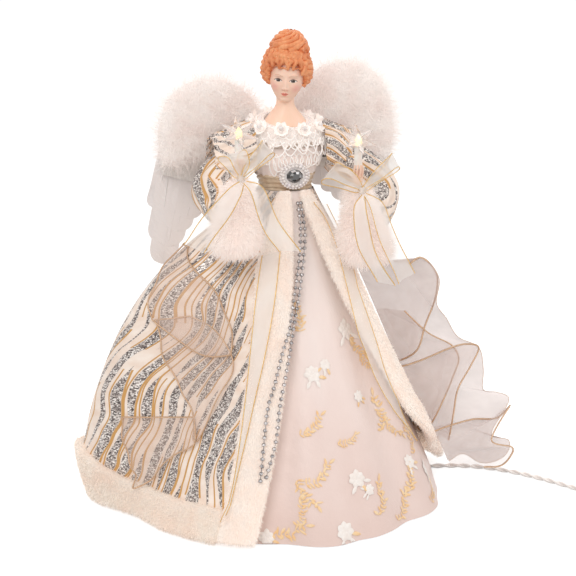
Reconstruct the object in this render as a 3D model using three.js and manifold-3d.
// Lighted angel tree topper: a doll's bust on a hollow cone, dressed in a satin underskirt and an open
// brocade coat with plush trim, with feather wings, two wired arms that hold star lamps, and a mains lead.
// Millimetres, +Z up. The figure faces -Y, the origin is on the floor under the cone's axis.
// Left and right are as seen from the front: left is -X.
import * as THREE from "three";
import { mergeVertices } from "three/addons/utils/BufferGeometryUtils.js";
import Module from "manifold-3d";

const wasm = await Module();
wasm.setup();

// Driving dimensions
const FIT = 0.3; // gap between pieces that rest on each other
const RUN = 0.9; // gap round a wire or cord in its hole

const CONE_HEIGHT = 258;
const CONE_FOOT_R = 105;
const CONE_TOP_R = 20;
const CONE_WALL = 1.6;
const CONE_RIM_WIDTH = 6; // flat foot that the topper stands on
const CONE_RIM_HEIGHT = 3;
const CONE_WIRE_HOLE_R = 6;

const TORSO_HEIGHT = 58;
const WAIST_RX = 21;
const WAIST_RY = 19;
const CHEST_RX = 29;
const CHEST_RY = 23;
const SHOULDER_RX = 33;
const SHOULDER_RY = 18;
const BUST_RISE = 16; // shoulder plate, from the torso's top to the neck
const NECK_R = 9;
const NECK_LENGTH = 12;
const HEAD_HEIGHT = 46; // chin to crown, under the hair
const HEAD_RX = 15.5;
const HEAD_RY = 18.5;
const HAIR_RISE = 15; // how far the piled hair stands above the crown
const HAIR_R = 21.5;

const WAIST_RISE = 12; // skirt tops above the cone's top
const SKIRT_WAIST_R = 23.3;
const SKIRT_SPREAD = 33; // how far the hem stands out beyond the cone's foot
const SKIRT_FRONT_BULGE = 16;
const SKIRT_CLOTH = 1;
const SKIRT_FOLDS = 8;
const SKIRT_FOLD_DEPTH = 3;
const HEM_CLEAR = 0.8; // cloth hangs just clear of the floor
const COAT_CLOTH = 1.2;
const COAT_EASE = 1.6; // coat clear of the underskirt at the waist
const COAT_FLARE = 8;
const COAT_SIDE_FLARE = 51; // the side that is spread for show
const COAT_SIDE_ANGLE = -96;
const COAT_SIDE_BELLY = 0.3; // the spread side billows, by this share of its flare
const COAT_SIDE_TUCK = 0.55; // and its hem turns under, by this share
const COAT_TUCK_START = 0.82; // share of the way down
const COAT_HEM_RISE = 24; // of the cloth's edge at the spread side, where more plush shows
const COAT_HEM_RISE_SPREAD = 14;
const COAT_FOLDS = 12;
const COAT_FOLD_DEPTH = 2.5;
const COAT_HEM_Z = 30; // the plush hem hangs below this
const HEM_PLUSH = 10;
const PLUSH_GAP = 1; // half the space between two pieces of plush trim
const FRONT_PLUSH = 6;
const FRONT_PLUSH_WAIST_WIDTH = 8;
const FRONT_PLUSH_HEM_WIDTH = 30;
const LEFT_EDGE_WAIST = -7; // the coat's front edges, in degrees round from the front
const LEFT_EDGE_HEM = -27;
const RIGHT_EDGE_WAIST = 7;
const RIGHT_EDGE_HEM = 57;
const RIGHT_EDGE_SWEEP = 36; // further back at the hem, where that corner is turned away
const RIGHT_SWEEP_START = 0.66; // share of the way down at which the sweep starts
const RIGHT_SWEEP_CURVE = 1.4;
const SEAM_LEFT = -125; // side seams of the coat
const SEAM_RIGHT = 125;

const SASH_HEIGHT = 13;
const SASH_CLOTH = 1.6;
const BODICE_CLOTH = 1.2;
const COLLAR_LACE = 1;
const COLLAR_RX = 38;
const COLLAR_RY = 31;
const COLLAR_DROP = 20;
const COLLAR_SCALLOPS = 16;
const BROOCH_RX = 14;
const BROOCH_RZ = 11.5;
const BROOCH_DEPTH = 3.5;
const STONE_RX = 7.5;
const STONE_RZ = 6;
const BEAD_R = 1.4;
const BEAD_ROWS_APART = 8;
const BEAD_DROP = 215; // length of the bead strands down the skirt

const LAMP_COUNT = 8;
const LAMP_LOW_Z = 62;
const LAMP_HIGH_Z = 138;
const LAMP_HUSK_R = 4;
const LAMP_HUSK_LENGTH = 12;
const LAMP_NECK_R = 3;
const LAMP_LENS_LENGTH = 14;
const LAMP_SEAT_GAP = 0.8; // a flat husk against the round inside of the cone
const HARNESS_R = 1.1;

const LEFT_WRIST_OUT = 57; // from the middle plane
const RIGHT_WRIST_OUT = 47;
const LEFT_ELBOW_OUT = 67;
const RIGHT_ELBOW_OUT = 80;
const ELBOW_FORWARD = 2;
const RIGHT_ELBOW_FORWARD = 22;
const ARM_REACH = 54; // wrist, in front of the middle
const ARM_PIVOT_RISE = 37; // shoulder joint above the torso's foot
const ARM_WIRE_R = 1.2;
const WRIST_DROP = 9.3; // wrists below the shoulders
const RIGHT_ARM_DROP = 10;
const SLEEVE_CLEAR = 2.6; // the sleeve stays off the collar when the arm is raised
const SLEEVE_R = 14;
const SLEEVE_CLOTH = 1.4;
const LEFT_CUFF_LENGTH = 56;
const RIGHT_CUFF_LENGTH = 60;
const CUFF_TOP_R = 9;
const LEFT_CUFF_R = 19; // at the cuff's hem
const RIGHT_CUFF_R = 21;
const CUFF_ENTRY = 0.5; // how far down the cuff the sleeve comes in
const CUFF_LEAN = 6; // the cuff's hem hangs this much further out
const HAND_LENGTH = 15;
const HAND_R = 4.6;
const CANDLE_LENGTH = 20;
const CANDLE_R = 3.6;
const STAR_R = 18;
const STAR_INNER_R = 7;
const STAR_POINTS = 6;
const STAR_THICKNESS = 1.2;
const STAR_TILT = 30;
const LENS_LENGTH = 9;
const LENS_R = 2.8;
const BOW_REACH = 27;
const KNOT_R = 4;
const BOW_WIDTH = 16;
const RIBBON = 0.9;
const TAIL_WIDTH = 15;
const TAIL_DROP = 84;

const DRAPE_CLOTH = 1;
const DRAPE_HANG = 62; // the drapes start this far below the waist
const DRAPE_FOOT_Z = 52;
const DRAPE_RIPPLE = 5;
const DRAPE_FOLDS = 4;
const LEFT_DRAPE_ANGLE = -56;
const LEFT_DRAPE_HALF_ANGLE = 19;
const RIGHT_DRAPE_ANGLE = 76;
const RIGHT_DRAPE_FOOT_Z = 14;
const DRAPE_LEAVES_COAT = 16; // above the plush hem, which it hangs clear of
const DRAPE_PLUSH_CLEAR = 4;
// The right drape's outline in the air, on its wired edge: [height, distance from the axis].
const RIGHT_DRAPE_RIM = [
  [14, 194],
  [22, 197],
  [33, 200],
  [39, 189],
  [69, 200],
  [78, 184],
  [97, 183],
  [119, 177],
  [129, 158],
  [148, 146],
  [164, 136],
  [187, 137],
  [199, 130],
  [208, 112],
];

const WING_CARD = 1.6;
const WING_BACK_Y = 36; // front face of the wing cards
const WING_ROOT_X = 7; // far enough apart for both wings to fold back at once
const WING_TAB_WIDTH = 7;
const WING_TAB_HEIGHT = 10;
const PLUME_SPAN = 116;
const LEFT_DOWN_SPAN = 108; // of the card and the marabou on it
const RIGHT_DOWN_SPAN = 116;
const LEFT_DOWN_RISE = 49; // above the torso's top
const RIGHT_DOWN_RISE = 62;
const PLUME_DROP = 120; // longest feathers below the torso's top
const PLUME_LAYER = 3;
const MARABOU_DEPTH = 18;

const CORD_R = 2.2; // the two wires of the lead lie together
const CORD_ANGLE = 83;
const CORD_HEM_LIFT = 7; // the hem is lifted over the lead
const COIL_CENTRE = [283, -112];
const COIL_INNER_R = 17;
const COIL_PITCH = 5.7;
const COIL_LAYER_RISE = 4.9;
const COIL_TURNS_IN = 3.5;
const COIL_TURNS_OUT = 3.25;
const COIL_ENTRY_ANGLE = -148;
const COIL_TAIL = 32;
const PLUG_LENGTH = 28;
const PLUG_WIDTH = 20;
const PLUG_HEIGHT = 14;
const BLADE_LENGTH = 16;
const BLADE_HEIGHT = 6.3;
const BLADE_THICKNESS = 1.5;
const BLADE_SPACING = 12.7;
const DOOR_LENGTH = 11;
const DOOR_WIDTH = 9;
const DOOR_THICKNESS = 1.6;
const DOOR_TRAVEL = 6;

// Levels that follow from them
const TORSO_Z = CONE_HEIGHT + FIT;
const TORSO_TOP_Z = TORSO_Z + TORSO_HEIGHT;
const WAIST_Z = CONE_HEIGHT + WAIST_RISE;
const BUST_Z = TORSO_TOP_Z + FIT;
const CHIN_Z = BUST_Z + BUST_RISE + NECK_LENGTH;
const CROWN_Z = CHIN_Z + HEAD_HEIGHT;
const HAIR_TOP_Z = CROWN_Z + HAIR_RISE;
const SASH_Z = WAIST_Z + FIT;
const BODICE_Z = SASH_Z + SASH_HEIGHT + FIT;
const PIVOT_Z = TORSO_Z + ARM_PIVOT_RISE;
const WRIST_Z = PIVOT_Z - WRIST_DROP;
const SKIRT_HEM_R = CONE_FOOT_R + SKIRT_SPREAD;
const DRAPE_TOP_Z = WAIST_Z - DRAPE_HANG;

// Finishes
const finish = (color, roughness, metalness = 0, extra = {}) =>
  new THREE.MeshStandardMaterial({ color, roughness, metalness, ...extra });
const PORCELAIN = finish(0xf3c9ab, 0.4);
const HAIR = finish(0xe08f55, 0.45);
const SATIN = finish(0xf2e6e0, 0.35);
const BROCADE = finish(0xcfc6b8, 0.4, 0.2);
const PLUSH = finish(0xf6ecdd, 0.95);
const ORGANZA = finish(0xeee0d8, 0.4, 0, { transparent: true, opacity: 0.6 });
const LACE = finish(0xf7f0ea, 0.8);
const GOLD_SASH = finish(0xc9ac84, 0.4, 0.2);
const PEARL = finish(0xf5efe8, 0.3);
const STONE = finish(0x9a9aa0, 0.05, 0.6);
const SILVER_BEAD = finish(0xa9a6a8, 0.2, 0.9);
const FEATHER = finish(0xece6e6, 0.9);
const CARD = finish(0xf4f2ee, 0.8);
const WHITE_PLASTIC = finish(0xf1eee8, 0.4);
const CLEAR_PLASTIC = finish(0xf6ece4, 0.1, 0, { transparent: true, opacity: 0.5 });
const LAMP_LENS = finish(0xfff0c8, 0.2);
const WIRE = finish(0xb9b4ae, 0.4, 0.8);
const CORD_PVC = finish(0xe9e1df, 0.5);
const BRASS = finish(0xc8a860, 0.3, 0.9);

const { degToRad, lerp, clamp } = THREE.MathUtils;
const topper = new THREE.Group();

function add(name, geometry, material, parent = topper) {
  const mesh = new THREE.Mesh(geometry, material);
  mesh.name = name;
  parent.add(mesh);
  return mesh;
}

// Solids from points

// Turns the faces round if they point inwards.
function facingOut(positions, index) {
  const [a, b, c] = [new THREE.Vector3(), new THREE.Vector3(), new THREE.Vector3()];
  let volume = 0;
  for (let i = 0; i < index.length; i += 3) {
    a.fromArray(positions, 3 * index[i]);
    b.fromArray(positions, 3 * index[i + 1]);
    c.fromArray(positions, 3 * index[i + 2]);
    volume += a.dot(b.cross(c));
  }
  const ordered = volume < 0 ? index.toReversed() : index;
  const geometry = new THREE.BufferGeometry();
  geometry.setAttribute("position", new THREE.Float32BufferAttribute(positions, 3));
  return geometry.setIndex(ordered);
}

// A closed sheet of even thickness on the surface point(u, v), with u and v from 0 to 1.
// With closed set, u comes round to where it began, as on a skirt.
function sheetSolid(point, across, along, thickness, closed = false) {
  const columns = closed ? across : across + 1;
  const at = (i, j) => point(i / across, j / along);
  const positions = [];
  for (const side of [0.5, -0.5]) {
    for (let j = 0; j <= along; j++) {
      for (let i = 0; i < columns; i++) {
        const before = closed || i > 0 ? at(i - 1, j) : at(i, j);
        const after = closed || i < across ? at(i + 1, j) : at(i, j);
        const du = after.sub(before);
        const dv = at(i, Math.min(j + 1, along)).sub(at(i, Math.max(j - 1, 0)));
        const normal = du.cross(dv).normalize();
        positions.push(...at(i, j).addScaledVector(normal, side * thickness).toArray());
      }
    }
  }
  const layer = columns * (along + 1);
  const id = (i, j, side) => side * layer + j * columns + (i % columns);
  const index = [];
  const quad = (a, b, c, d) => index.push(a, b, c, a, c, d);
  for (let j = 0; j < along; j++) {
    for (let i = 0; i < across; i++) {
      quad(id(i, j, 0), id(i + 1, j, 0), id(i + 1, j + 1, 0), id(i, j + 1, 0));
      quad(id(i, j, 1), id(i, j + 1, 1), id(i + 1, j + 1, 1), id(i + 1, j, 1));
    }
    if (!closed) {
      quad(id(0, j, 0), id(0, j + 1, 0), id(0, j + 1, 1), id(0, j, 1));
      quad(id(across, j, 0), id(across, j, 1), id(across, j + 1, 1), id(across, j + 1, 0));
    }
  }
  for (let i = 0; i < across; i++) {
    quad(id(i, 0, 0), id(i, 0, 1), id(i + 1, 0, 1), id(i + 1, 0, 0));
    quad(id(i, along, 0), id(i + 1, along, 0), id(i + 1, along, 1), id(i, along, 1));
  }
  return facingOut(positions, index);
}

// A solid through rings that all have the same number of points, with flat ends.
function loftSolid(rings) {
  const sides = rings[0].length;
  const positions = rings.flat().flatMap((p) => p.toArray());
  const index = [];
  for (let j = 0; j + 1 < rings.length; j++) {
    for (let i = 0; i < sides; i++) {
      const [a, b] = [j * sides + i, j * sides + ((i + 1) % sides)];
      index.push(a, b, b + sides, a, b + sides, a + sides);
    }
  }
  const cap = (ring, first, turned) => {
    const centre = ring.reduce((sum, p) => sum.add(p), new THREE.Vector3()).divideScalar(sides);
    const middle = positions.length / 3;
    positions.push(...centre.toArray());
    for (let i = 0; i < sides; i++) {
      const [a, b] = [first + i, first + ((i + 1) % sides)];
      index.push(...(turned ? [middle, b, a] : [middle, a, b]));
    }
  };
  cap(rings[0], 0, true);
  cap(rings.at(-1), (rings.length - 1) * sides, false);
  return facingOut(positions, index);
}

// An ellipse of points round the Z axis through (x, y, z).
function ellipseRing(x, y, z, rx, ry, sides) {
  return Array.from({ length: sides }, (_, i) => {
    const angle = (2 * Math.PI * i) / sides;
    return new THREE.Vector3(x + rx * Math.cos(angle), y + ry * Math.sin(angle), z);
  });
}

function circleShape(radius, sides) {
  const corners = Array.from({ length: sides }, (_, i) => {
    const angle = (2 * Math.PI * i) / sides;
    return new THREE.Vector2(radius * Math.cos(angle), radius * Math.sin(angle));
  });
  return new THREE.Shape(corners);
}

function tube(points, radius, sides, steps) {
  const path = new THREE.CatmullRomCurve3(points);
  const options = { steps, extrudePath: path, bevelEnabled: false };
  return new THREE.ExtrudeGeometry(circleShape(radius, sides), options);
}

// Booleans

function toSolid(geometry) {
  const bare = geometry.index ? geometry.toNonIndexed() : geometry.clone();
  bare.deleteAttribute("normal");
  bare.deleteAttribute("uv");
  const merged = mergeVertices(bare, 1e-4);
  const vertProperties = new Float32Array(merged.attributes.position.array);
  const triVerts = new Uint32Array(merged.index.array);
  return new wasm.Manifold(new wasm.Mesh({ numProp: 3, vertProperties, triVerts }));
}

function fromSolid(solid) {
  const mesh = solid.getMesh();
  const geometry = new THREE.BufferGeometry();
  geometry.setAttribute("position", new THREE.BufferAttribute(mesh.vertProperties, 3));
  return geometry.setIndex(new THREE.BufferAttribute(mesh.triVerts, 1));
}

const cut = (whole, ...tools) => fromSolid(tools.reduce((s, t) => s.subtract(toSolid(t)), toSolid(whole)));
const join = (first, ...others) => fromSolid(others.reduce((s, p) => s.add(toSolid(p)), toSolid(first)));

// Straight-line lookup in a list of [key, ...values] rows.
function between(rows, key) {
  const last = rows.length - 1;
  const j = clamp(rows.findIndex((row) => row[0] > key) - 1, 0, last - 1);
  const [low, high] = key >= rows[last][0] ? [rows[last - 1], rows[last]] : [rows[j], rows[j + 1]];
  const share = clamp((key - low[0]) / (high[0] - low[0]), 0, 1);
  return low.slice(1).map((value, i) => lerp(value, high[i + 1], share));
}

// A point by its angle round from the front, in degrees, towards +X.
function polar(angle, radius, z) {
  const a = degToRad(angle);
  return new THREE.Vector3(radius * Math.sin(a), -radius * Math.cos(a), z);
}

// Hollow cone with a flat foot, lamp holes and a notch for the lead
const coneRadius = (z) => lerp(CONE_FOOT_R, CONE_TOP_R, z / CONE_HEIGHT);
const coneSlope = Math.atan2(CONE_FOOT_R - CONE_TOP_R, CONE_HEIGHT);

function lampPlace(i) {
  const z = i % 2 ? LAMP_HIGH_Z : LAMP_LOW_Z;
  const angle = 360 * ((i + 0.5) / LAMP_COUNT);
  const axis = polar(angle, Math.cos(coneSlope), Math.sin(coneSlope));
  return { axis, foot: polar(angle, coneRadius(z), z) };
}

// A turned piece whose profile of [radius, height] rows stands along axis from foot.
function turned(profile, sides, foot, axis) {
  const outline = profile.map(([r, y]) => new THREE.Vector2(r, y));
  const geometry = new THREE.LatheGeometry(outline, sides);
  const turn = new THREE.Quaternion().setFromUnitVectors(new THREE.Vector3(0, 1, 0), axis);
  return geometry.applyQuaternion(turn).translate(foot.x, foot.y, foot.z);
}

function coneBase() {
  const inner = CONE_WALL / Math.cos(coneSlope);
  const rimInner = CONE_FOOT_R - CONE_RIM_WIDTH;
  const outline = [
    [rimInner, 0],
    [CONE_FOOT_R, 0],
    [coneRadius(CONE_RIM_HEIGHT), CONE_RIM_HEIGHT],
    [CONE_TOP_R, CONE_HEIGHT],
    [CONE_WIRE_HOLE_R, CONE_HEIGHT],
    [CONE_WIRE_HOLE_R, CONE_HEIGHT - CONE_WALL],
    [CONE_TOP_R - inner, CONE_HEIGHT - CONE_WALL],
    [coneRadius(CONE_RIM_HEIGHT) - inner, CONE_RIM_HEIGHT],
    [rimInner, CONE_RIM_HEIGHT],
    [rimInner, 0],
  ];
  const up = new THREE.Vector3(0, 0, 1);
  const shell = turned(outline, 32, new THREE.Vector3(), up);
  const holes = Array.from({ length: LAMP_COUNT }, (_, i) => {
    const { axis, foot } = lampPlace(i);
    const r = LAMP_NECK_R + FIT;
    const reach = 4 * CONE_WALL;
    return turned([[0, -reach], [r, -reach], [r, reach], [0, reach]], 12, foot, axis);
  });
  const notchR = CORD_R + RUN;
  const notchDeep = 2 * CONE_RIM_WIDTH;
  const notchFoot = polar(CORD_ANGLE, CONE_FOOT_R, CORD_R);
  const outwards = polar(CORD_ANGLE, 1, 0);
  const notch = turned(
    [[0, -notchDeep], [notchR, -notchDeep], [notchR, notchDeep], [0, notchDeep]], 12, notchFoot, outwards);
  return cut(shell, ...holes, notch);
}

function skirtLamp(i) {
  const { axis, foot } = lampPlace(i);
  const seat = -CONE_WALL - LAMP_SEAT_GAP;
  const profile = [
    [0, seat - LAMP_HUSK_LENGTH],
    [LAMP_HUSK_R, seat - LAMP_HUSK_LENGTH],
    [LAMP_HUSK_R, seat],
    [LAMP_NECK_R, seat],
    [LAMP_NECK_R, 2 * FIT],
    [LAMP_LENS_LENGTH / 6, LAMP_LENS_LENGTH * 0.6],
    [0, LAMP_LENS_LENGTH],
  ];
  return turned(profile, 10, foot, axis);
}

// The harness runs past the tail of every lamp and down to the lead's notch.
function harness() {
  const tail = -CONE_WALL - LAMP_SEAT_GAP - LAMP_HUSK_LENGTH - FIT - HARNESS_R;
  const tails = Array.from({ length: LAMP_COUNT }, (_, i) => {
    const { axis, foot } = lampPlace((i + 2) % LAMP_COUNT);
    return foot.clone().addScaledVector(axis, tail);
  });
  const drop = polar(CORD_ANGLE, CONE_FOOT_R - CONE_RIM_WIDTH - 24, LAMP_LOW_Z / 2);
  const end = polar(CORD_ANGLE, CONE_FOOT_R - CONE_RIM_WIDTH - 7, CORD_R);
  const before = polar(CORD_ANGLE, CONE_FOOT_R - CONE_RIM_WIDTH - 14, CORD_R + 3);
  return tube([...tails, drop, before, end], HARNESS_R, 6, 44);
}

add("cone_base", coneBase(), WHITE_PLASTIC);
for (let i = 0; i < LAMP_COUNT; i++) add(`skirt_lamp_${i + 1}`, skirtLamp(i), LAMP_LENS);
add("wire_harness", harness(), CORD_PVC);

// Stuffed torso, shoulder plate, head and moulded hair
const CHEST_SHARE = 0.62;
const TORSO_ROWS = [
  [0, WAIST_RX, WAIST_RY],
  [0.3, WAIST_RX, WAIST_RY],
  [CHEST_SHARE, CHEST_RX, CHEST_RY],
  [0.86, SHOULDER_RX, SHOULDER_RY],
  [1, 0.7 * SHOULDER_RX, 0.8 * SHOULDER_RY],
];
const BODY_SIDES = 24; // cloth and torso share their corners, so that they don't cross
const torsoAt = (z) => between(TORSO_ROWS, (z - TORSO_Z) / TORSO_HEIGHT);

function torso() {
  const rings = TORSO_ROWS.map(([share, rx, ry]) =>
    ellipseRing(0, 0, TORSO_Z + share * TORSO_HEIGHT, rx, ry, BODY_SIDES));
  return loftSolid(rings);
}

// The shoulder plate and head, or the same shape grown by a margin.
function headRings(margin = 0) {
  const plate = [
    [0, 0.72 * SHOULDER_RX, 0.8 * SHOULDER_RY, 0],
    [0.25, 0.67 * SHOULDER_RX, 0.77 * SHOULDER_RY, 0],
    [0.5, 0.5 * SHOULDER_RX, 0.68 * SHOULDER_RY, 0],
    [0.75, 1.35 * NECK_R, 1.2 * NECK_R, 0],
    [1, NECK_R, NECK_R, 0],
  ].map(([share, rx, ry, y]) => [BUST_Z + share * BUST_RISE, rx, ry, y]);
  const head = [
    [0, NECK_R, NECK_R * 1.15, -1],
    [0.04, 0.62 * HEAD_RX, 0.72 * HEAD_RY, -3],
    [0.18, 0.84 * HEAD_RX, 0.9 * HEAD_RY, -2],
    [0.4, HEAD_RX, HEAD_RY, -1],
    [0.66, HEAD_RX, HEAD_RY, 0],
    [0.86, 0.8 * HEAD_RX, 0.8 * HEAD_RY, 1],
    [1, 0.3 * HEAD_RX, 0.3 * HEAD_RY, 1],
  ].map(([share, rx, ry, y]) => [CHIN_Z + share * HEAD_HEIGHT, rx, ry, y]);
  const rows = [...plate, ...head];
  const top = rows.length - 1;
  return rows.map(([z, rx, ry, y], k) =>
    ellipseRing(0, y, z + (k === top ? margin : 0), rx + margin, ry + margin, 16));
}

function hair() {
  const pile = [
    [-0.62, 0.6, 0.55, 6],
    [-0.5, 0.86, 0.8, 5],
    [-0.28, 1, 0.95, 3],
    [0, 0.97, 0.97, 1],
    [0.3, 0.9, 0.94, 1],
    [0.62, 0.76, 0.8, 1],
    [0.86, 0.5, 0.55, 1],
    [1, 0.2, 0.2, 1],
  ].map(([share, rx, ry, y]) => {
    const z = CROWN_Z - HAIR_RISE + share * 2 * HAIR_RISE;
    return ellipseRing(0, y, z, rx * HAIR_R, ry * HAIR_R, 16);
  });
  const faceOpening = new THREE.SphereGeometry(1, 16, 10);
  faceOpening.scale(0.95 * HEAD_RX, 1.3 * HEAD_RY, 0.42 * HEAD_HEIGHT);
  faceOpening.translate(0, -1.45 * HEAD_RY, CHIN_Z + 0.3 * HEAD_HEIGHT);
  return cut(loftSolid(pile), loftSolid(headRings(FIT)), faceOpening);
}

add("torso_core", torso(), CARD);
add("head_bust", loftSolid(headRings()), PORCELAIN);
add("hair_updo", hair(), HAIR);

// Bodice, sash, lace collar and brooch
// A sleeve of cloth round the torso between two heights.
function torsoWrap(lowZ, highZ, cloth) {
  const bends = TORSO_ROWS.map(([share]) => TORSO_Z + share * TORSO_HEIGHT);
  const levels = [lowZ, ...bends.filter((z) => z > lowZ + 1 && z < highZ - 1), highZ];
  const rows = levels.length - 1;
  const point = (u, v) => {
    const z = levels[Math.round(v * rows)];
    const [rx, ry] = torsoAt(z).map((r) => r + FIT + cloth / 2);
    const a = 2 * Math.PI * u;
    return new THREE.Vector3(rx * Math.sin(a), -ry * Math.cos(a), z);
  };
  return sheetSolid(point, BODY_SIDES, rows, cloth, true);
}

function collar() {
  const neckRX = 0.67 * SHOULDER_RX + FIT + COLLAR_LACE;
  const neckRY = 0.77 * SHOULDER_RY + FIT + COLLAR_LACE;
  const topZ = BUST_Z + 0.25 * BUST_RISE;
  const point = (u, v) => {
    const a = 2 * Math.PI * u;
    const scallop = 1.5 * v * Math.cos(COLLAR_SCALLOPS * a);
    const z = topZ - COLLAR_DROP * v ** 1.6 + scallop;
    const out = Math.sqrt(v);
    const [rx, ry] = [lerp(neckRX, COLLAR_RX, out), lerp(neckRY, COLLAR_RY, out)];
    return new THREE.Vector3(rx * Math.sin(a), -ry * Math.cos(a), z);
  };
  return sheetSolid(point, 2 * COLLAR_SCALLOPS, 4, COLLAR_LACE, true);
}

const bodiceTopZ = TORSO_Z + 0.82 * TORSO_HEIGHT;
const BROOCH_Z = WAIST_Z + BROOCH_RZ + 2;
const bodiceFrontRY = (z) => torsoAt(z)[1] + FIT + BODICE_CLOTH;
// The brooch stands clear of the fullest level that it covers.
const chestZ = clamp(TORSO_Z + CHEST_SHARE * TORSO_HEIGHT, BROOCH_Z - BROOCH_RZ, BROOCH_Z + BROOCH_RZ);
const BROOCH_BACK_Y = -bodiceFrontRY(chestZ) - FIT;

function ovalShape(rx, ry) {
  return new THREE.Shape().absellipse(0, 0, rx, ry, 0, 2 * Math.PI);
}

// Stands a geometry that was drawn flat in XY upright, facing -Y, at a place.
const upright = (geometry, x, y, z) => geometry.rotateX(Math.PI / 2).translate(x, y, z);

function broochFrame() {
  const shape = ovalShape(BROOCH_RX, BROOCH_RZ);
  shape.holes.push(ovalShape(STONE_RX + FIT, STONE_RZ + FIT));
  const options = { depth: BROOCH_DEPTH, bevelEnabled: false, curveSegments: 12 };
  return upright(new THREE.ExtrudeGeometry(shape, options), 0, BROOCH_BACK_Y, BROOCH_Z);
}

function broochStone() {
  const table = 0.55;
  const cutStone = new THREE.CylinderGeometry(1, table, 1.4 * BROOCH_DEPTH, 12).rotateX(Math.PI / 2);
  cutStone.scale(STONE_RX, STONE_RZ, -1);
  const positions = cutStone.toNonIndexed().getAttribute("position").array;
  const stone = facingOut([...positions], [...positions.keys()].slice(0, positions.length / 3));
  return upright(stone, 0, BROOCH_BACK_Y - 0.7 * BROOCH_DEPTH, BROOCH_Z);
}

add("bodice", torsoWrap(BODICE_Z, bodiceTopZ, BODICE_CLOTH), SATIN);
add("waist_sash", torsoWrap(SASH_Z, SASH_Z + SASH_HEIGHT, SASH_CLOTH), GOLD_SASH);
add("lace_collar", collar(), LACE);
add("brooch_frame", broochFrame(), PEARL);
add("brooch_stone", broochStone(), STONE);

// Underskirt and coat, as radius by angle and height
const fallen = (z) => clamp((WAIST_Z - z) / WAIST_Z, 0, 1);

function skirtRadius(angle, z) {
  const a = degToRad(angle);
  const front = Math.max(0, Math.cos(a)) ** 2;
  const hem = SKIRT_HEM_R + SKIRT_FRONT_BULGE * front;
  const t = fallen(z);
  return lerp(SKIRT_WAIST_R, hem, t) + SKIRT_FOLD_DEPTH * t * Math.cos(SKIRT_FOLDS * a);
}

// How far the angle is from another, the short way round.
const apart = (angle, other) => ((((angle - other) % 360) + 540) % 360) - 180;

function coatFlare(angle, t) {
  const away = apart(angle, COAT_SIDE_ANGLE);
  const spread = away > 0 ? 24 : 40;
  const bell = (1 - Math.exp(-((t / 0.17) ** 1.4))) * (1 - 0.22 * t ** 3);
  const allRound = COAT_FLARE * (0.75 + 0.25 * Math.cos(degToRad(angle)));
  const tuck = COAT_SIDE_TUCK * clamp((t - COAT_TUCK_START) / (1 - COAT_TUCK_START), 0, 1) ** 1.3;
  const belly = 1 + COAT_SIDE_BELLY * Math.sin(Math.PI * clamp((t - 0.08) / 0.92, 0, 1)) - tuck;
  return (allRound + COAT_SIDE_FLARE * belly * Math.exp(-((away / spread) ** 2))) * bell;
}

function coatRadius(angle, z) {
  const t = fallen(z);
  const fold = COAT_FOLD_DEPTH * t * (1 + Math.cos(COAT_FOLDS * degToRad(angle)));
  return skirtRadius(angle, z) + COAT_EASE + coatFlare(angle, t) + fold;
}

// The hem is level, and lifted where the lead goes out.
const hemZ = (angle) => HEM_CLEAR + CORD_HEM_LIFT * Math.exp(-((apart(angle, CORD_ANGLE) / 9) ** 2));

function underskirt() {
  const point = (u, v) => {
    const angle = 360 * u;
    const z = lerp(WAIST_Z, hemZ(angle), v);
    return polar(angle, skirtRadius(angle, z) - SKIRT_CLOTH / 2, z);
  };
  return sheetSolid(point, 48, 6, SKIRT_CLOTH, true);
}

// The coat's front edges, and the angle that the plush band beside each takes up.
const leftEdge = (z) => lerp(LEFT_EDGE_WAIST, LEFT_EDGE_HEM, fallen(z));
const sweptShare = (t) => clamp((t - RIGHT_SWEEP_START) / (1 - RIGHT_SWEEP_START), 0, 1);
const sweptBack = (t) => RIGHT_EDGE_SWEEP * sweptShare(t) ** RIGHT_SWEEP_CURVE;
const rightEdge = (z) => lerp(RIGHT_EDGE_WAIST, RIGHT_EDGE_HEM, fallen(z)) + sweptBack(fallen(z));
const asAngle = (length, angle, z) => THREE.MathUtils.radToDeg(length / coatRadius(angle, z));
const bandWidth = (z) => lerp(FRONT_PLUSH_WAIST_WIDTH, FRONT_PLUSH_HEM_WIDTH, fallen(z));
const leftBandEnd = (z) => leftEdge(z) - asAngle(bandWidth(z), leftEdge(z), z);
const rightBandEnd = (z) => rightEdge(z) + asAngle(bandWidth(z), rightEdge(z), z);

// Where the brocade ends and the plush begins.
const coatHemZ = (angle) =>
  COAT_HEM_Z + COAT_HEM_RISE * Math.exp(-((apart(angle, COAT_SIDE_ANGLE) / COAT_HEM_RISE_SPREAD) ** 2));

// A panel of the coat, or of its trim, between two edges that are angles by height, and two that are heights
// by angle. As each depends on the other, a point's place is closed in on.
function coatPanel(from, to, topZ, footZ, proud, thickness, across, along) {
  const point = (u, v) => {
    let z = lerp(WAIST_Z, HEM_CLEAR, v);
    for (let round = 0; round < 4; round++) {
      const angle = lerp(from(z), to(z), u);
      z = lerp(topZ(angle), footZ(angle), v);
    }
    const angle = lerp(from(z), to(z), u);
    return polar(angle, coatRadius(angle, z) + proud, z);
  };
  return sheetSolid(point, across, along, thickness);
}

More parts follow.
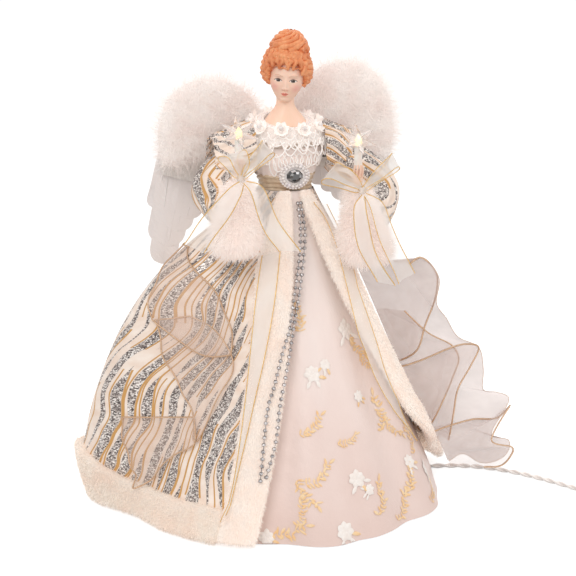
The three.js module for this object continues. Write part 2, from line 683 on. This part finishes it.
// The panels' edges, each held back from the seam by a gap. Plush beside a leaning band needs a wider one.
const COAT_PANELS = {
  left: {
    from: (gap) => (z) => leftBandEnd(z) - asAngle(2 * gap, 0, z),
    to: (gap) => (z) => SEAM_LEFT + asAngle(gap, SEAM_LEFT, z),
    across: 13,
    along: 7,
    hemRows: 3,
    hemDrop: 1.2,
    leanGap: 1,
  },
  back: {
    from: (gap) => (z) => SEAM_LEFT - asAngle(gap, SEAM_LEFT, z),
    to: (gap) => (z) => SEAM_RIGHT - 360 + asAngle(gap, SEAM_RIGHT, z),
    across: 16,
    along: 7,
    hemRows: 3,
    hemDrop: 0,
    leanGap: 1,
  },
  right: {
    from: (gap) => (z) => SEAM_RIGHT - asAngle(gap, SEAM_RIGHT, z),
    to: (gap) => (z) => rightBandEnd(z) + asAngle(2 * gap, 0, z),
    across: 10,
    along: 12,
    hemRows: 4,
    hemDrop: 0,
    leanGap: 4,
  },
};
const level = (z) => () => z;
// Thick plush leans with the skirt, so its middle stops higher to keep its inner edge off the floor.
const plushFoot = (thickness) => (angle) => hemZ(angle) + 0.24 * thickness;

add("underskirt", underskirt(), SATIN);
for (const [side, { from, to, across, along, hemRows, hemDrop, leanGap }] of Object.entries(COAT_PANELS)) {
  const cloth = coatPanel(from(FIT), to(FIT), level(WAIST_Z), coatHemZ, 0, COAT_CLOTH, across, along);
  add(`coat_${side}`, cloth, BROCADE);
  const proud = HEM_PLUSH / 2 - 1;
  const topZ = (angle) => coatHemZ(angle) + 0.04 * HEM_PLUSH - 2 * FIT - hemDrop;
  const edges = [from(PLUSH_GAP), to(PLUSH_GAP * leanGap)];
  const plush = coatPanel(...edges, topZ, plushFoot(HEM_PLUSH), proud, HEM_PLUSH, across, hemRows);
  add(`hem_fur_${side}`, plush, PLUSH);
}
const bandProud = FRONT_PLUSH / 2 - COAT_CLOTH / 2;
const frontBand = (from, to, along) =>
  coatPanel(from, to, level(WAIST_Z), plushFoot(FRONT_PLUSH), bandProud, FRONT_PLUSH, 3, along);
add("front_fur_left", frontBand(leftEdge, leftBandEnd, 9), PLUSH);
add("front_fur_right", frontBand(rightEdge, rightBandEnd, 18), PLUSH);

// Two strands of beads, one loop of garland laid down the left band and back up
function garland() {
  const topZ = WAIST_Z - 4;
  const footZ = topZ - BEAD_DROP;
  const onBand = (z, aside) => {
    const angle = leftEdge(z) - asAngle(bandWidth(z) * 0.3, leftEdge(z), z) + asAngle(aside, leftEdge(z), z);
    return polar(angle, coatRadius(angle, z) + 1.16 * FRONT_PLUSH - COAT_CLOTH / 2 + BEAD_R + 2 * FIT, z);
  };
  const strandSteps = 9;
  const half = BEAD_ROWS_APART / 2;
  const apartAt = (k) => half * lerp(0.45, 1, k / strandSteps);
  const down = Array.from({ length: strandSteps + 1 }, (_, k) =>
    onBand(lerp(topZ, footZ, k / strandSteps), -apartAt(k)));
  const turn = onBand(footZ - half, 0);
  const up = Array.from({ length: strandSteps + 1 }, (_, k) =>
    onBand(lerp(footZ, topZ, k / strandSteps), apartAt(strandSteps - k)));
  return tube([...down, turn, ...up], BEAD_R, 6, 72);
}
add("bead_garland", garland(), SILVER_BEAD);

// Arms: wire, sleeve, plush cuff, hand, candle, lens, star, bow and tails, made for one side
function makeArm(name, side, { wristOut, elbowOut, elbowForward, drop, cuffLength, cuffHemR }) {
  const wristZ = WRIST_Z - drop;
  const group = new THREE.Group();
  const onSide = (x, y, z) => new THREE.Vector3(side * x, y, z);
  const axisAt = (z) => {
    const lean = CUFF_LEAN * clamp((wristZ - z) / cuffLength, 0, 1);
    return onSide(wristOut + lean, -ARM_REACH - lean, z);
  };
  const cuffRows = [
    [0, 0.75 * cuffHemR],
    [0.08, cuffHemR],
    [0.3, 0.95 * cuffHemR],
    [0.6, 0.66 * cuffHemR],
    [1, CUFF_TOP_R],
  ];
  const cuffRadius = (share) => between(cuffRows, share)[0];

  // The sleeve comes to the back of the cuff, and the wire goes on into it and up to the hand.
  const enterZ = wristZ - CUFF_ENTRY * cuffLength;
  const enter = axisAt(enterZ);
  const elbow = onSide(elbowOut, -elbowForward, lerp(PIVOT_Z, enterZ, 0.6));
  const back = elbow.clone().sub(enter).setZ(0).normalize();
  const lowestShare = 1 - CUFF_ENTRY - SLEEVE_R / cuffLength;
  const leanBack = axisAt(enterZ - SLEEVE_R).sub(enter).dot(back);
  const sleeveEnd = enter.clone().addScaledVector(back, cuffRadius(lowestShare) + leanBack + FIT);
  const approach = sleeveEnd.clone().addScaledVector(back, 10);
  const bodiceRX = torsoAt(PIVOT_Z)[0] + FIT + BODICE_CLOTH;
  const pivot = onSide(bodiceRX + FIT, 2, PIVOT_Z);
  const sleeveRoot = onSide(COLLAR_RX + COLLAR_LACE + 2 * FIT + SLEEVE_CLEAR, 2, PIVOT_Z);
  const upperArm = onSide(lerp(COLLAR_RX, elbowOut, 0.62), -elbowForward / 3, PIVOT_Z - 8);
  const wirePath = [
    pivot,
    sleeveRoot,
    upperArm,
    elbow,
    sleeveEnd.clone().lerp(elbow, 0.3),
    enter,
    axisAt(wristZ - 0.3 * cuffLength),
    axisAt(wristZ + FIT / 2),
  ];
  add(`arm_wire_${name}`, tube(wirePath, ARM_WIRE_R, 6, 40), WIRE, group);

  const cuffRings = cuffRows.map(([share]) => {
    const z = lerp(wristZ - cuffLength, wristZ, share);
    const c = axisAt(z);
    return ellipseRing(c.x, c.y, z, cuffRadius(share), cuffRadius(share), 16);
  });
  const through = [...wirePath.slice(0, -1), axisAt(wristZ + 4)];
  const tunnel = tube(through, ARM_WIRE_R + RUN, 6, 40);
  add(`cuff_${name}`, cut(loftSolid(cuffRings), tunnel), PLUSH, group);

  const sleevePath = new THREE.CatmullRomCurve3([sleeveRoot, upperArm, elbow, approach, sleeveEnd]);
  const puff = (v) => SLEEVE_R * (0.9 + 0.28 * Math.sin(Math.PI * v));
  const frames = sleevePath.computeFrenetFrames(10);
  const sleevePoint = (u, v) => {
    const k = Math.round(v * 10);
    const a = 2 * Math.PI * u;
    const gather = 1 + 0.05 * Math.cos(8 * a);
    const centre = sleevePath.getPointAt(v);
    const round = frames.normals[k].clone().multiplyScalar(Math.cos(a));
    round.addScaledVector(frames.binormals[k], Math.sin(a));
    return centre.addScaledVector(round, puff(v) * gather);
  };
  add(`sleeve_${name}`, sheetSolid(sleevePoint, 16, 10, SLEEVE_CLOTH, true), BROCADE, group);

  // A cupped hand stands on the wrist, and the candle stands in it.
  const wrist = axisAt(wristZ);
  const handRings = [
    [0, 0.7, 0.7, 0],
    [0.3, 0.8, 0.7, 0],
    [0.6, 1, 0.8, 0],
    [1, 0.85, 0.65, 0],
  ].map(([share, rx, ry]) =>
    ellipseRing(wrist.x, wrist.y, wristZ + 2 * FIT + share * HAND_LENGTH, rx * HAND_R, ry * HAND_R, 10));
  add(`hand_${name}`, loftSolid(handRings), PORCELAIN, group);

  const up = new THREE.Vector3(0, 0, 1);
  const candleFoot = wrist.clone().setZ(wristZ + 3 * FIT + HAND_LENGTH);
  const candle = turned(
    [[0, 0], [CANDLE_R, 0], [0.9 * CANDLE_R, CANDLE_LENGTH], [0, CANDLE_LENGTH]], 12, candleFoot, up);
  add(`candle_${name}`, candle, WHITE_PLASTIC, group);

  const lensFoot = candleFoot.clone().setZ(candleFoot.z + CANDLE_LENGTH + FIT);
  const lens = turned(
    [[0, 0], [LENS_R, 0], [LENS_R, 0.5 * LENS_LENGTH], [0.5 * LENS_R, 0.9 * LENS_LENGTH], [0, LENS_LENGTH]],
    12, lensFoot, up);
  add(`lamp_lens_${name}`, lens, LAMP_LENS, group);

  const starShape = new THREE.Shape(
    Array.from({ length: 2 * STAR_POINTS }, (_, i) => {
      const r = i % 2 ? STAR_INNER_R : STAR_R;
      const a = (Math.PI * i) / STAR_POINTS;
      return new THREE.Vector2(r * Math.sin(a), r * Math.cos(a));
    }));
  const collarR = (LENS_R + FIT) / Math.cos(degToRad(STAR_TILT)) + FIT;
  starShape.holes.push(circleShape(collarR, 12));
  const star = new THREE.ExtrudeGeometry(starShape, { depth: STAR_THICKNESS, bevelEnabled: false });
  const starZ = lensFoot.z + 0.5 * LENS_LENGTH - 1;
  star.translate(0, 0, -STAR_THICKNESS / 2).rotateX(degToRad(STAR_TILT)).translate(wrist.x, wrist.y, starZ);
  add(`star_${name}`, star, CLEAR_PLASTIC, group);

  // The bow sits in front of the wrist: two loops of ribbon and a knot.
  const knotY = wrist.y - CUFF_TOP_R - KNOT_R - 4 * FIT;
  const knotZ = wristZ - 1;
  const loop = (way) => {
    const point = (u, v) => {
      const a = 2 * Math.PI * u;
      const open = 1 - Math.cos(a);
      const x = way * (1.5 + (BOW_REACH / 2) * open);
      const z = knotZ + 7 * Math.sin(a) * (open / 2) + 0.2 * Math.abs(x) - 2;
      const width = BOW_WIDTH * (0.35 + 0.325 * open) * (v - 0.5);
      return new THREE.Vector3(wrist.x + x, knotY + 0.35 * width, z + 0.6 * width);
    };
    return sheetSolid(point, 14, 1, RIBBON, true);
  };
  const knot = new THREE.SphereGeometry(KNOT_R, 10, 6).translate(wrist.x, knotY, knotZ - 2);
  add(`bow_${name}`, join(knot, loop(1), loop(-1)), ORGANZA, group);

  // Two tails fall from under the knot, down the front and the outside of the cuff.
  const tail = (aside, sway) => {
    const topZ = knotZ - 6.5;
    const point = (u, v) => {
      const z = topZ - TAIL_DROP * v;
      const c = axisAt(z);
      const share = clamp((z - (wristZ - cuffLength)) / cuffLength, 0, 1);
      const off = cuffRadius(share) + 2.4 + RIBBON + 2 * Math.sin(Math.PI * 3 * v) ** 2;
      const turn = aside * (0.2 + 0.8 * v) + sway * Math.sin(Math.PI * v);
      const a = degToRad(turn) + (TAIL_WIDTH * (0.5 + 0.5 * v) * (u - 0.5)) / off;
      return new THREE.Vector3(c.x + side * off * Math.sin(a), c.y - off * Math.cos(a), z);
    };
    return sheetSolid(point, 3, 8, RIBBON);
  };
  add(`streamers_${name}`, join(tail(62, 6), tail(-22, -4)), ORGANZA, group);
  topper.add(group);
}

makeArm("left", -1, {
  wristOut: LEFT_WRIST_OUT,
  elbowOut: LEFT_ELBOW_OUT,
  elbowForward: ELBOW_FORWARD,
  drop: 0,
  cuffLength: LEFT_CUFF_LENGTH,
  cuffHemR: LEFT_CUFF_R,
});
makeArm("right", 1, {
  wristOut: RIGHT_WRIST_OUT,
  elbowOut: RIGHT_ELBOW_OUT,
  elbowForward: RIGHT_ELBOW_FORWARD,
  drop: RIGHT_ARM_DROP,
  cuffLength: RIGHT_CUFF_LENGTH,
  cuffHemR: RIGHT_CUFF_R,
});

// Wide organza drapes: the left one lies on the coat, the right one stands out on its wired edge
function leftDrape() {
  const point = (u, v) => {
    const zig = Math.abs(Math.sin(Math.PI * (DRAPE_FOLDS * v + 0.25)));
    const half = LEFT_DRAPE_HALF_ANGLE * (0.45 + 0.55 * zig) * (1 - 0.35 * v);
    const angle = LEFT_DRAPE_ANGLE + 6 * v + half * (2 * u - 1);
    const z = lerp(DRAPE_TOP_Z, DRAPE_FOOT_Z, v) - 8 * Math.sin(Math.PI * u) * v;
    const ripple = DRAPE_RIPPLE * (1 - Math.cos(2 * Math.PI * (DRAPE_FOLDS * v + u))) / 2;
    return polar(angle, coatRadius(angle, z) + COAT_CLOTH / 2 + DRAPE_CLOTH + 2 * FIT + ripple, z);
  };
  return sheetSolid(point, 6, 20, DRAPE_CLOTH);
}

function rightDrape() {
  const radial = polar(RIGHT_DRAPE_ANGLE, 1, 0);
  const aside = polar(RIGHT_DRAPE_ANGLE + 90, 1, 0);
  const point = (u, v) => {
    const z = lerp(DRAPE_TOP_Z, RIGHT_DRAPE_FOOT_Z, v);
    const low = clamp((COAT_HEM_Z + DRAPE_LEAVES_COAT - z) / HEM_PLUSH, 0, 1);
    const overPlush = (HEM_PLUSH + DRAPE_PLUSH_CLEAR) * low;
    const inner = coatRadius(RIGHT_DRAPE_ANGLE, z) + COAT_CLOTH + 2 * FIT + 4 * v + overPlush;
    const [rim] = between(RIGHT_DRAPE_RIM, z);
    const wave = 1.8 * DRAPE_RIPPLE * Math.sin(2 * Math.PI * (1.3 * v + 0.5 * u)) * u;
    return radial.clone().multiplyScalar(lerp(inner, rim, u)).addScaledVector(aside, wave).setZ(z);
  };
  return sheetSolid(point, 5, 24, DRAPE_CLOTH);
}
add("drape_left", leftDrape(), ORGANZA);
add("drape_right", rightDrape(), ORGANZA);

// Wings: a card with a hinge tab, a marabou front and long plumes behind, made for one side
// Outlines are [share of the span, height], with heights as shares of the rise above the torso's top,
// or below it, of the plumes' drop.
const CARD_OUTLINE = [
  [0.062, -0.24], [0.1, 0.1], [0.2, 0.6], [0.42, 0.9], [0.72, 0.86], [0.9, 0.45],
  [0.95, 0], [0.93, -0.3], [0.7, -0.36], [0.4, -0.3], [0.16, -0.26],
];
const MARABOU_OUTLINE = [
  [0.14, 0.16], [0.22, 0.66], [0.44, 1], [0.74, 0.94], [0.94, 0.56], [1, 0.1],
  [0.97, -0.26], [0.84, -0.25], [0.64, -0.2], [0.42, -0.16], [0.24, -0.1],
];
const PLUME_OUTLINE = [
  [0.3, -0.1], [0.92, 0], [1, -0.35], [1, -0.7], [0.94, -1], [0.86, -0.9], [0.8, -0.78],
  [0.7, -0.66], [0.6, -0.58], [0.48, -0.5], [0.36, -0.42],
];

function makeWing(name, side, downSpan, downRise) {
  const group = new THREE.Group();
  const height = (h) => TORSO_TOP_Z + (h > 0 ? h * downRise : h * PLUME_DROP);
  const outline = (rows, span) => rows.map(([s, h]) => new THREE.Vector2(side * s * span, height(h)));
  // A plate with its front face at a depth y, reaching back by its thickness.
  const plate = (rows, span, y, thickness) => {
    const options = { depth: thickness, bevelEnabled: false };
    const geometry = new THREE.ExtrudeGeometry(new THREE.Shape(outline(rows, span)), options);
    return geometry.rotateX(Math.PI / 2).translate(0, y + thickness, 0);
  };
  const tabZ = BODICE_Z + WING_TAB_HEIGHT / 2 + 2;
  const tabFrontY = bodiceFrontRY(tabZ + WING_TAB_HEIGHT / 2) + FIT;
  const tabDepth = WING_BACK_Y + WING_CARD - tabFrontY;
  const tab = new THREE.BoxGeometry(WING_TAB_WIDTH, tabDepth, WING_TAB_HEIGHT);
  tab.translate(side * (WING_ROOT_X + WING_TAB_WIDTH / 2), tabFrontY + tabDepth / 2, tabZ);
  const board = plate(CARD_OUTLINE, downSpan, WING_BACK_Y, WING_CARD);
  add(`wing_card_${name}`, join(board, tab), CARD, group);
  const plumes = plate(PLUME_OUTLINE, PLUME_SPAN, WING_BACK_Y + WING_CARD + FIT, PLUME_LAYER);
  add(`wing_plumes_${name}`, plumes, FEATHER, group);

  // The marabou is a pillow with its flat back on the card.
  const edge = new THREE.CatmullRomCurve3(
    outline(MARABOU_OUTLINE, downSpan).map((p) => new THREE.Vector3(p.x, 0, p.y)), true);
  const rim = edge.getSpacedPoints(22).slice(0, -1);
  const middle = rim.reduce((sum, p) => sum.add(p), new THREE.Vector3()).divideScalar(rim.length);
  const rings = [[0, 0.94], [0.35, 1], [0.75, 0.86], [1, 0.5]].map(([depth, scale]) =>
    rim.map((p) => p.clone().lerp(middle, 1 - scale).setY(WING_BACK_Y - FIT - depth * MARABOU_DEPTH)));
  add(`wing_marabou_${name}`, loftSolid(rings), FEATHER, group);
  topper.add(group);
}
makeWing("left", -1, LEFT_DOWN_SPAN, LEFT_DOWN_RISE);
makeWing("right", 1, RIGHT_DOWN_SPAN, RIGHT_DOWN_RISE);

// Lead: out through the notch, under the hem and along the floor to a coil, and a fused plug
const coilOuterR = COIL_INNER_R + COIL_TURNS_IN * COIL_PITCH;
const floorZ = CORD_R + 0.1;

function coilPoints() {
  const perTurn = 24;
  const turns = COIL_TURNS_IN + 0.5 + COIL_TURNS_OUT;
  const steps = Math.round(perTurn * turns);
  const points = Array.from({ length: steps + 1 }, (_, k) => {
    const turn = (k / steps) * turns;
    const climb = clamp((turn - COIL_TURNS_IN) / 0.5, 0, 1);
    const inwards = Math.max(0, COIL_TURNS_IN - turn);
    const outwards = Math.max(0, turn - COIL_TURNS_IN - 0.5);
    const r = COIL_INNER_R + COIL_PITCH * (inwards + outwards);
    const a = degToRad(COIL_ENTRY_ANGLE) + 2 * Math.PI * turn;
    const z = floorZ + COIL_LAYER_RISE * climb;
    return new THREE.Vector3(COIL_CENTRE[0] + r * Math.cos(a), COIL_CENTRE[1] + r * Math.sin(a), z);
  });
  // Both ends run straight, the far one until the plug is clear of the turns.
  const straight = (end, inner, length) => end.clone().add(end.clone().sub(inner).setZ(0).setLength(length));
  const start = straight(points[0], points[1], 2 * CORD_R);
  const tails = [0.5, 1].map((share) => straight(points.at(-1), points.at(-2), share * COIL_TAIL));
  return [start, ...points, ...tails];
}

function coil(points) {
  const sides = 6;
  const rings = points.map((p, k) => {
    const ahead = points[Math.min(k + 1, points.length - 1)];
    const behind = points[Math.max(k - 1, 0)];
    const along = ahead.clone().sub(behind).normalize();
    const across = new THREE.Vector3(0, 0, 1).cross(along).normalize();
    const over = along.clone().cross(across);
    return Array.from({ length: sides }, (_, i) => {
      const a = (2 * Math.PI * i) / sides;
      const out = across.clone().multiplyScalar(Math.cos(a)).addScaledVector(over, Math.sin(a));
      return p.clone().addScaledVector(out, CORD_R);
    });
  });
  return loftSolid(rings);
}

// The least gap between turns of a tube, measured on points half a turn or more apart.
function leastGap(points, radius, skip) {
  let least = Infinity;
  for (let i = 0; i < points.length; i++) {
    for (let j = i + skip; j < points.length; j++) least = Math.min(least, points[i].distanceTo(points[j]));
  }
  return least - 2 * radius;
}

const wound = coilPoints();
console.log("coil: least gap between turns", leastGap(wound, CORD_R, 12).toFixed(2), "mm");
const lengthOf = (points) => points.slice(1).reduce((sum, p, i) => sum + p.distanceTo(points[i]), 0);

// The lead's free stretch lies on the floor in one easy bend to the coil.
const LEAD_ROUTE = [
  [118, -14.5], [134, -16.5], [150, -19.5], [168, -26], [186, -37], [204, -54], [220, -76], [233, -98],
];
const intoCoil = wound[0].clone().sub(wound[1]).setLength(FIT);
const leadEnd = wound[0].clone().add(intoCoil);
const leadPath = [
  polar(CORD_ANGLE, CONE_FOOT_R - CONE_RIM_WIDTH - 6, floorZ),
  polar(CORD_ANGLE, CONE_FOOT_R, floorZ),
  ...LEAD_ROUTE.map(([x, y]) => new THREE.Vector3(x, y, floorZ)),
  leadEnd.clone().add(intoCoil.clone().setLength(6)),
  leadEnd,
];
console.log("lead: length", Math.round(lengthOf(leadPath) + lengthOf(wound)), "mm");
add("cord_lead", tube(leadPath, CORD_R, 8, 24), CORD_PVC);
add("cord_coil", coil(wound), CORD_PVC);

// Plug, drawn along +X from its cord end and then turned to the coil's end
const plugGroup = new THREE.Group();
const plugEnd = wound.at(-1);
const plugWay = plugEnd.clone().sub(wound.at(-2));
const plugAxisZ = PLUG_HEIGHT / 2 + 0.1;
plugGroup.position.set(plugEnd.x, plugEnd.y, 0);
plugGroup.rotation.z = Math.atan2(plugWay.y, plugWay.x);

function block(length, width, height, x, y, z) {
  return new THREE.BoxGeometry(length, width, height).translate(x + length / 2, y, z);
}

function plugBody() {
  const half = PLUG_WIDTH / 2;
  const neck = CORD_R + 3;
  const outline = new THREE.Shape();
  outline.moveTo(0, -neck);
  outline.quadraticCurveTo(0.2 * PLUG_LENGTH, -half, 0.42 * PLUG_LENGTH, -half);
  outline.lineTo(PLUG_LENGTH, -half);
  outline.lineTo(PLUG_LENGTH, half);
  outline.lineTo(0.42 * PLUG_LENGTH, half);
  outline.quadraticCurveTo(0.2 * PLUG_LENGTH, half, 0, neck);
  const options = { depth: PLUG_HEIGHT, bevelEnabled: false, curveSegments: 6 };
  const body = new THREE.ExtrudeGeometry(outline, options).translate(FIT, 0, 0.1);
  // The fuse door slides in a recess in the top that is open at the blades' end.
  const recessLength = DOOR_LENGTH + DOOR_TRAVEL + 2 * FIT;
  const recessZ = PLUG_HEIGHT + 0.1 - DOOR_THICKNESS / 2 - FIT / 2;
  const recess = block(
    recessLength + 1, DOOR_WIDTH + 2 * FIT, DOOR_THICKNESS + FIT,
    FIT + PLUG_LENGTH - recessLength, 0, recessZ + 0.01);
  return cut(body, recess);
}

function blade(sideways) {
  const x = FIT + PLUG_LENGTH + FIT;
  return block(BLADE_LENGTH, BLADE_THICKNESS, BLADE_HEIGHT, x, (sideways * BLADE_SPACING) / 2, plugAxisZ - 2);
}

function fuseDoor() {
  const x = FIT + PLUG_LENGTH - DOOR_LENGTH - DOOR_TRAVEL - FIT;
  return block(DOOR_LENGTH, DOOR_WIDTH, DOOR_THICKNESS, x, 0, PLUG_HEIGHT + 0.1 - DOOR_THICKNESS / 2);
}

add("plug_body", plugBody(), WHITE_PLASTIC, plugGroup);
add("plug_blade_1", blade(1), BRASS, plugGroup);
add("plug_blade_2", blade(-1), BRASS, plugGroup);
add("fuse_door", fuseDoor(), WHITE_PLASTIC, plugGroup);
topper.add(plugGroup);

console.log("height", HAIR_TOP_Z.toFixed(1), "mm");
export default topper;
